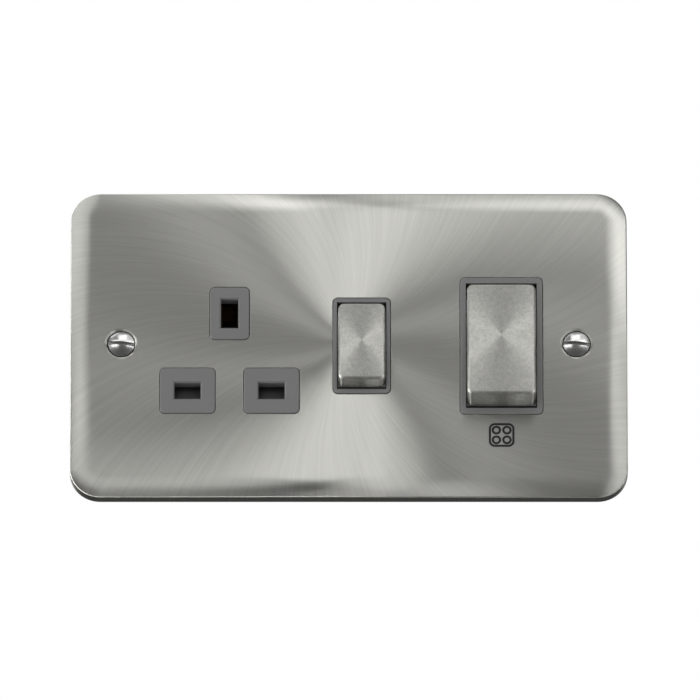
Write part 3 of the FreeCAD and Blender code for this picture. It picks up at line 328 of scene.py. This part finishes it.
moulded_grain_group()
insert_plastic = moulded_plastic("insert_grey_moulding", insert_grey, insert_rough, mould_bump)
smooth_finish("insert_moulding", insert_plastic, moulded_crease)


# Push nuts. Punched from spring steel and zinc plated, they are pushed over the plate's studs and bite there.
# The same plating is on the pins that the rockers turn on, which are cut from drawn wire.
zinc_dark = (0.42, 0.44, 0.47)
zinc_light = (0.60, 0.62, 0.65)
zinc_rough = (0.28, 0.42)
patch_size = 0.004
metal_crease = 35


def patches_group():
    """Soft uneven patches, as plating and rolled metal have, from two octaves of noise."""
    group = bpy.data.node_groups.new("metal_patches", "ShaderNodeTree")
    group.interface.new_socket("Size", in_out="INPUT", socket_type="NodeSocketFloat")
    group.interface.new_socket("Patch", in_out="OUTPUT", socket_type="NodeSocketFloat")
    size = group.nodes.new("NodeGroupInput").outputs["Size"]
    place = shader_node(group, "TexCoord").outputs["Object"]
    scale = shader_node(group, "Math", {0: 1.0, 1: size}, operation="DIVIDE").outputs[0]
    noise = shader_node(group, "TexNoise", {"Vector": place, "Scale": scale, "Detail": 2.0})
    out = group.nodes.new("NodeGroupOutput")
    group.links.new(full_range(group, noise.outputs["Fac"]), out.inputs["Patch"])
    return group


def patchy_metal(name, dark, light, roughness, size):
    """A metal whose colour and gloss vary in soft patches."""
    material = new_material(name, light, 1.0, roughness[0])
    tree = material.node_tree
    shader = tree.nodes["Principled BSDF"]
    group = shader_node(tree, "Group", {"Size": size}, node_tree=bpy.data.node_groups["metal_patches"])
    patch = group.outputs["Patch"]
    tree.links.new(two_colours(tree, patch, dark, light), shader.inputs["Base Color"])
    tree.links.new(two_values(tree, patch, *roughness), shader.inputs["Roughness"])
    return material


patches_group()
zinc = patchy_metal("zinc_plated_steel", zinc_dark, zinc_light, zinc_rough, patch_size)
for node in ("push_nuts", "cooker_rocker_pin", "socket_rocker_pin"):
    smooth_finish(node, zinc, metal_crease)


# Rockers. Moulded in a darker grey than the insert, they fill the metal caps from inside, turn on their pins
# and carry the plungers in their sleeves.
rocker_grey = (0.11, 0.11, 0.11)
rocker_rough = 0.45
rocker_plastic = moulded_plastic("rocker_grey_moulding", rocker_grey, rocker_rough, mould_bump)
for node in ("cooker_rocker", "socket_rocker"):
    smooth_finish(node, rocker_plastic, moulded_crease)


# Rocker caps. Drawn from thin steel sheet, each is brushed by a small pad that turns about the middle of its
# face, so that its fine strokes run in rings, and is then pressed over the moulded rocker.
cap_steel_colours = ((0.36, 0.358, 0.338), (0.57, 0.567, 0.534))
cap_rings_per_metre = 700
cap_grains_per_metre = 3000
brush_rise = {"cooker_rocker_cap": 0.0020, "socket_rocker_cap": 0.0007}
cap_anisotropy = 0.75
cap_rough = (0.46, 0.52)
cap_scratch_depth = 0.00003
cap_crease = 30


def cap_steel(name, node):
    """Brushed steel with grainy rings about a point a little above the middle of a cap's front."""
    low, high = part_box(node)
    centre_x = (low.x + high.x) / 2
    centre_z = (low.z + high.z) / 2 + brush_rise[node]

    def ring_place(tree):
        """The place counts most, and the radius a little, which draws the grains out into rings."""
        flat = flat_place(tree, centre_x, centre_z)
        radius = shader_node(tree, "VectorMath", {0: flat}, operation="LENGTH").outputs["Value"]
        ring = shader_node(tree, "Math", {0: radius, 1: cap_rings_per_metre}, operation="MULTIPLY").outputs[0]
        step = shader_node(tree, "CombineXYZ", {"Y": ring}).outputs[0]
        place = shader_node(tree, "TexCoord").outputs["Object"]
        grain = shader_node(tree, "VectorMath", {0: place, "Scale": cap_grains_per_metre}, operation="SCALE")
        return shader_node(tree, "VectorMath", {0: grain.outputs[0], 1: step}, operation="ADD").outputs[0]

    def across_rings(tree):
        """Away from the middle, square to the rings."""
        return flat_place(tree, centre_x, centre_z)

    return brushed_steel(name, cap_steel_colours, ring_place, across_rings, cap_rough, cap_anisotropy,
                         cap_scratch_depth)


for node in ("cooker_rocker_cap", "socket_rocker_cap"):
    smooth_finish(node, cap_steel(node + "_brushed_steel", node), cap_crease)


# Plungers and their springs. The plungers are moulded in white acetal with round noses that slide on the
# blades. The springs behind them are coiled from drawn steel wire.
acetal_white = (0.80, 0.79, 0.75)
acetal_rough = 0.32
slight_bump = 0.1
wire_dark = (0.36, 0.36, 0.36)
wire_light = (0.55, 0.55, 0.55)
wire_rough = (0.22, 0.34)
wire_crease = 50
acetal = moulded_plastic("plunger_acetal", acetal_white, acetal_rough, slight_bump)
wire = patchy_metal("spring_wire", wire_dark, wire_light, wire_rough, patch_size)
for node in ("cooker_plungers", "socket_plunger"):
    smooth_finish(node, acetal, moulded_crease)
for node in ("cooker_plunger_springs", "socket_plunger_spring"):
    smooth_finish(node, wire, wire_crease)


# Blades, fixed contacts, fulcrums, links and the socket's jaws. Blanked from brass strip, folded, and fitted
# with contact buttons. They lie in channels of the housing. The jaws are riveted to their strips.
brass_dark = (0.50, 0.33, 0.12)
brass_light = (0.72, 0.52, 0.23)
brass_rough = (0.26, 0.40)
brass = patchy_metal("rolled_brass", brass_dark, brass_light, brass_rough, patch_size)
brass_nodes = ["cooker_live_blade", "cooker_neutral_blade", "socket_blade", "supply_live_contact",
               "supply_neutral_contact", "load_live_fulcrum", "load_neutral_fulcrum", "socket_live_fulcrum",
               "live_link", "neutral_link", "earth_bar", "earth_strap", "live_jaws", "neutral_jaws",
               "earth_jaws", "contact_rivets"]
for node in brass_nodes:
    smooth_finish(node, brass, metal_crease)


# Shutter. A dark moulded slide behind the line and neutral holes. The earth pin pushes its sloped nose down,
# which opens the two holes.
shutter_grey = (0.022, 0.022, 0.022)
shutter_rough = 0.5
shutter_plastic = moulded_plastic("shutter_moulding", shutter_grey, shutter_rough, mould_bump)
smooth_finish("shutter", shutter_plastic, moulded_crease)


# Shutter spring. A coil of the same steel wire under the shutter, seated on the insert moulding, which lifts
# the shutter again. The real coil shortens by the shutter's travel; here it only gets its own copy of its
# mesh.
shutter_coil = smooth_finish("shutter_spring", wire, wire_crease)
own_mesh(shutter_coil)


# Terminals and their screws. Six tunnel blocks cut from extruded brass, drilled for the cables and tapped
# from behind for their slotted brass screws.
terminal_dark = (0.56, 0.38, 0.15)
terminal_light = (0.76, 0.56, 0.26)
terminal_rough = (0.22, 0.34)
terminal_brass = patchy_metal("machined_brass", terminal_dark, terminal_light, terminal_rough, patch_size)
for end in ("supply", "load"):
    for pole in ("live", "neutral", "earth"):
        smooth_finish(end + "_" + pole + "_terminal", terminal_brass, metal_crease)
smooth_finish("terminal_screws", terminal_brass, metal_crease)


# Rear housing. A deep thermoset moulding in cream that holds every inner piece, with the pockets of the six
# terminals open to the back and outwards.
housing_cream = (0.72, 0.70, 0.63)
housing_rough = 0.48
housing_bump = 0.5
housing_plastic = moulded_plastic("housing_cream_moulding", housing_cream, housing_rough, housing_bump)
smooth_finish("rear_housing", housing_plastic, moulded_crease)


# Assembly screws. Four slotted thread-cutting screws, zinc plated, driven from behind into the insert
# moulding's bosses.
smooth_finish("assembly_screws", zinc, metal_crease)


# Fixing screws. Two M3.5 raised countersunk slotted screws in chromed brass, driven through the plate's
# dimples into the lugs of the wall box.
chrome_dark = (0.64, 0.64, 0.63)
chrome_light = (0.74, 0.74, 0.73)
chrome_rough = (0.20, 0.26)
head_crease = 30
chrome = patchy_metal("polished_chrome", chrome_dark, chrome_light, chrome_rough, patch_size)
smooth_finish("fixing_screws", chrome, head_crease)


# Printed mark below the large switch: a plain hob, four rings in a square with round corners, printed in
# black ink on the lacquer.
ink_black = (0.006, 0.006, 0.006)
ink_rough = 0.35
mark_height = 0.0068
mark_line = 0.0006
mark_corner = 0.0013
ring_radius = 0.00096
ring_offset = 0.0014
mark_drop = 0.0263
ink_thickness = 0.00003
mark_steps = 64
face_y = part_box("front_plate")[0].y


def printed_line(name, x, z, outward, width):
    """A flat ring of ink: a rectangular section carried along a closed path. x and z hold the path's middle
    line and outward its unit normals, one column per step. The section's corners are half the width in and
    out from the line, on the plate and one ink thickness in front of it."""
    side = np.array([-0.5, 0.5, 0.5, -0.5])[:, None] * width
    front = np.array([0.0, 0.0, 1.0, 1.0])[:, None] * ink_thickness
    columns = [x + side * outward[0], face_y - front + 0 * x, z + side * outward[1]]
    corners = np.stack(columns, axis=-1).reshape(-1, 3)
    count = len(x)
    row = np.arange(4)[:, None] * count
    step = np.arange(count)[None, :]
    after = (step + 1) % count
    above = (row + count) % (4 * count)
    quads = np.stack([row + step, row + after, above + after, above + step], axis=-1).reshape(-1, 4)
    mesh = bpy.data.meshes.new(name)
    mesh.from_pydata(corners, [], quads)
    return mesh


def round_path(centre_x, centre_z, half, corner, steps):
    """A square of half width half with corners of radius corner, by equal steps of angle: each point is the
    corner circle's centre in its quadrant plus the radius along the angle."""
    angle = (np.arange(steps) + 0.5) * 2 * math.pi / steps
    outward = np.stack([np.cos(angle), np.sin(angle)])
    inner = half - corner
    x = centre_x + inner * np.sign(outward[0]) + corner * outward[0]
    z = centre_z + inner * np.sign(outward[1]) + corner * outward[1]
    return x, z, outward


ink = moulded_plastic("black_ink", ink_black, ink_rough, slight_bump)
rocker_low, rocker_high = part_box("cooker_rocker_cap")
mark_x = (rocker_low.x + rocker_high.x) / 2
lines = [(mark_x, -mark_drop, mark_height / 2 - mark_line / 2, mark_corner)]
for side_x in (-1, 1):
    for side_z in (-1, 1):
        ring_x = mark_x + side_x * ring_offset
        ring_z = -mark_drop + side_z * ring_offset
        lines.append((ring_x, ring_z, ring_radius, ring_radius))
for number, line in enumerate(lines):
    path_x, path_z, path_outward = round_path(*line, mark_steps)
    line_mesh = printed_line("hob_mark_%d" % number, path_x, path_z, path_outward, mark_line)
    put_on_body(line_mesh, "unit", ink)


# Studio. A pale floor far below and a white backdrop. Nine square softboxes stand in rows below, level with
# and above the plate, and the brush strokes spread their light into fans. Two larger ones light the back.
floor_z = -3.0
floor_half = 12.0
floor_pale = (0.80, 0.80, 0.79)
floor_rough = 0.7
surround = 0.09
front_distance = 1.0
front_box_side = 0.5
front_lights = {"left_low_softbox": (-45, -42, 1.2), "right_low_softbox": (45, -42, 1.1),
                "left_side_softbox": (-82, -14, 9.5), "right_side_softbox": (82, -14, 3.2),
                "left_front_softbox": (-30, 22, 2.15), "right_front_softbox": (33, 22, 2.0),
                "left_high_softbox": (-72, 60, 1.3), "middle_high_softbox": (0, 50, 1.2),
                "right_high_softbox": (35, 50, 0.5)}
back_distance = 1.8
back_box_side = 1.0
back_lights = {"back_left_softbox": (-150, 25, 6), "back_right_softbox": (150, 25, 5)}

floor_mesh = bpy.data.meshes.new("floor")
floor_corners = [(-floor_half, -floor_half, floor_z), (floor_half, -floor_half, floor_z),
                 (floor_half, floor_half, floor_z), (-floor_half, floor_half, floor_z)]
floor_mesh.from_pydata(floor_corners, [], [(0, 1, 2, 3)])
floor = bpy.data.objects.new("floor", floor_mesh)
bpy.context.scene.collection.objects.link(floor)
floor_mesh.materials.append(new_material("pale_floor", floor_pale, 0.0, floor_rough))

# The backdrop looks white, and lights the object only dimly.
world = bpy.data.worlds.new("studio")
world.use_nodes = True
bpy.context.scene.world = world
tree = world.node_tree
background = tree.nodes["Background"]
seen = shader_node(tree, "LightPath").outputs["Is Camera Ray"]
level = two_values(tree, seen, surround, 1.0)
tree.links.new(level, background.inputs["Strength"])
background.inputs["Color"].default_value = (1, 1, 1, 1)


def towards(azimuth, elevation):
    """The direction out from the object at that azimuth and elevation, in degrees. Azimuth 0 is the front."""
    turn, rise = math.radians(azimuth), math.radians(elevation)
    return Vector((math.sin(turn) * math.cos(rise), -math.cos(turn) * math.cos(rise), math.sin(rise)))


def softbox(name, azimuth, elevation, distance, side, watts):
    """A square light that faces the object from that azimuth and elevation."""
    light = bpy.data.lights.new(name, "AREA")
    light.size = side
    light.energy = watts
    lamp = bpy.data.objects.new(name, light)
    bpy.context.scene.collection.objects.link(lamp)
    out = towards(azimuth, elevation)
    lamp.location = out * distance
    lamp.rotation_euler = (-out).to_track_quat("-Z", "Y").to_euler()


for name, (azimuth, elevation, watts) in front_lights.items():
    softbox(name, azimuth, elevation, front_distance, front_box_side, watts)
for name, (azimuth, elevation, watts) in back_lights.items():
    softbox(name, azimuth, elevation, back_distance, back_box_side, watts)

# The camera stands below the plate, far off with a long lens, and looks up at it.
camera_elevation = -23.2
camera_distance = 6.18
camera_lens = 240
sensor_width = 7.2
camera_reach = 100
aim_right = 0.0003
aim_down = 0.0017
camera_from = towards(0, camera_elevation)
camera_data = bpy.data.cameras.new("photo_camera")
camera_data.lens = camera_lens
camera_data.sensor_width = sensor_width
camera_data.clip_end = camera_reach
camera = bpy.data.objects.new("photo_camera", camera_data)
bpy.context.scene.collection.objects.link(camera)
facing = (-camera_from).to_track_quat("-Z", "Y")
aim = Vector((0, face_y, 0)) + facing @ Vector((aim_right, -aim_down, 0))
camera.rotation_euler = facing.to_euler()
camera.location = aim + camera_from * camera_distance
bpy.context.scene.camera = camera
bpy.context.scene.view_settings.view_transform = "Standard"
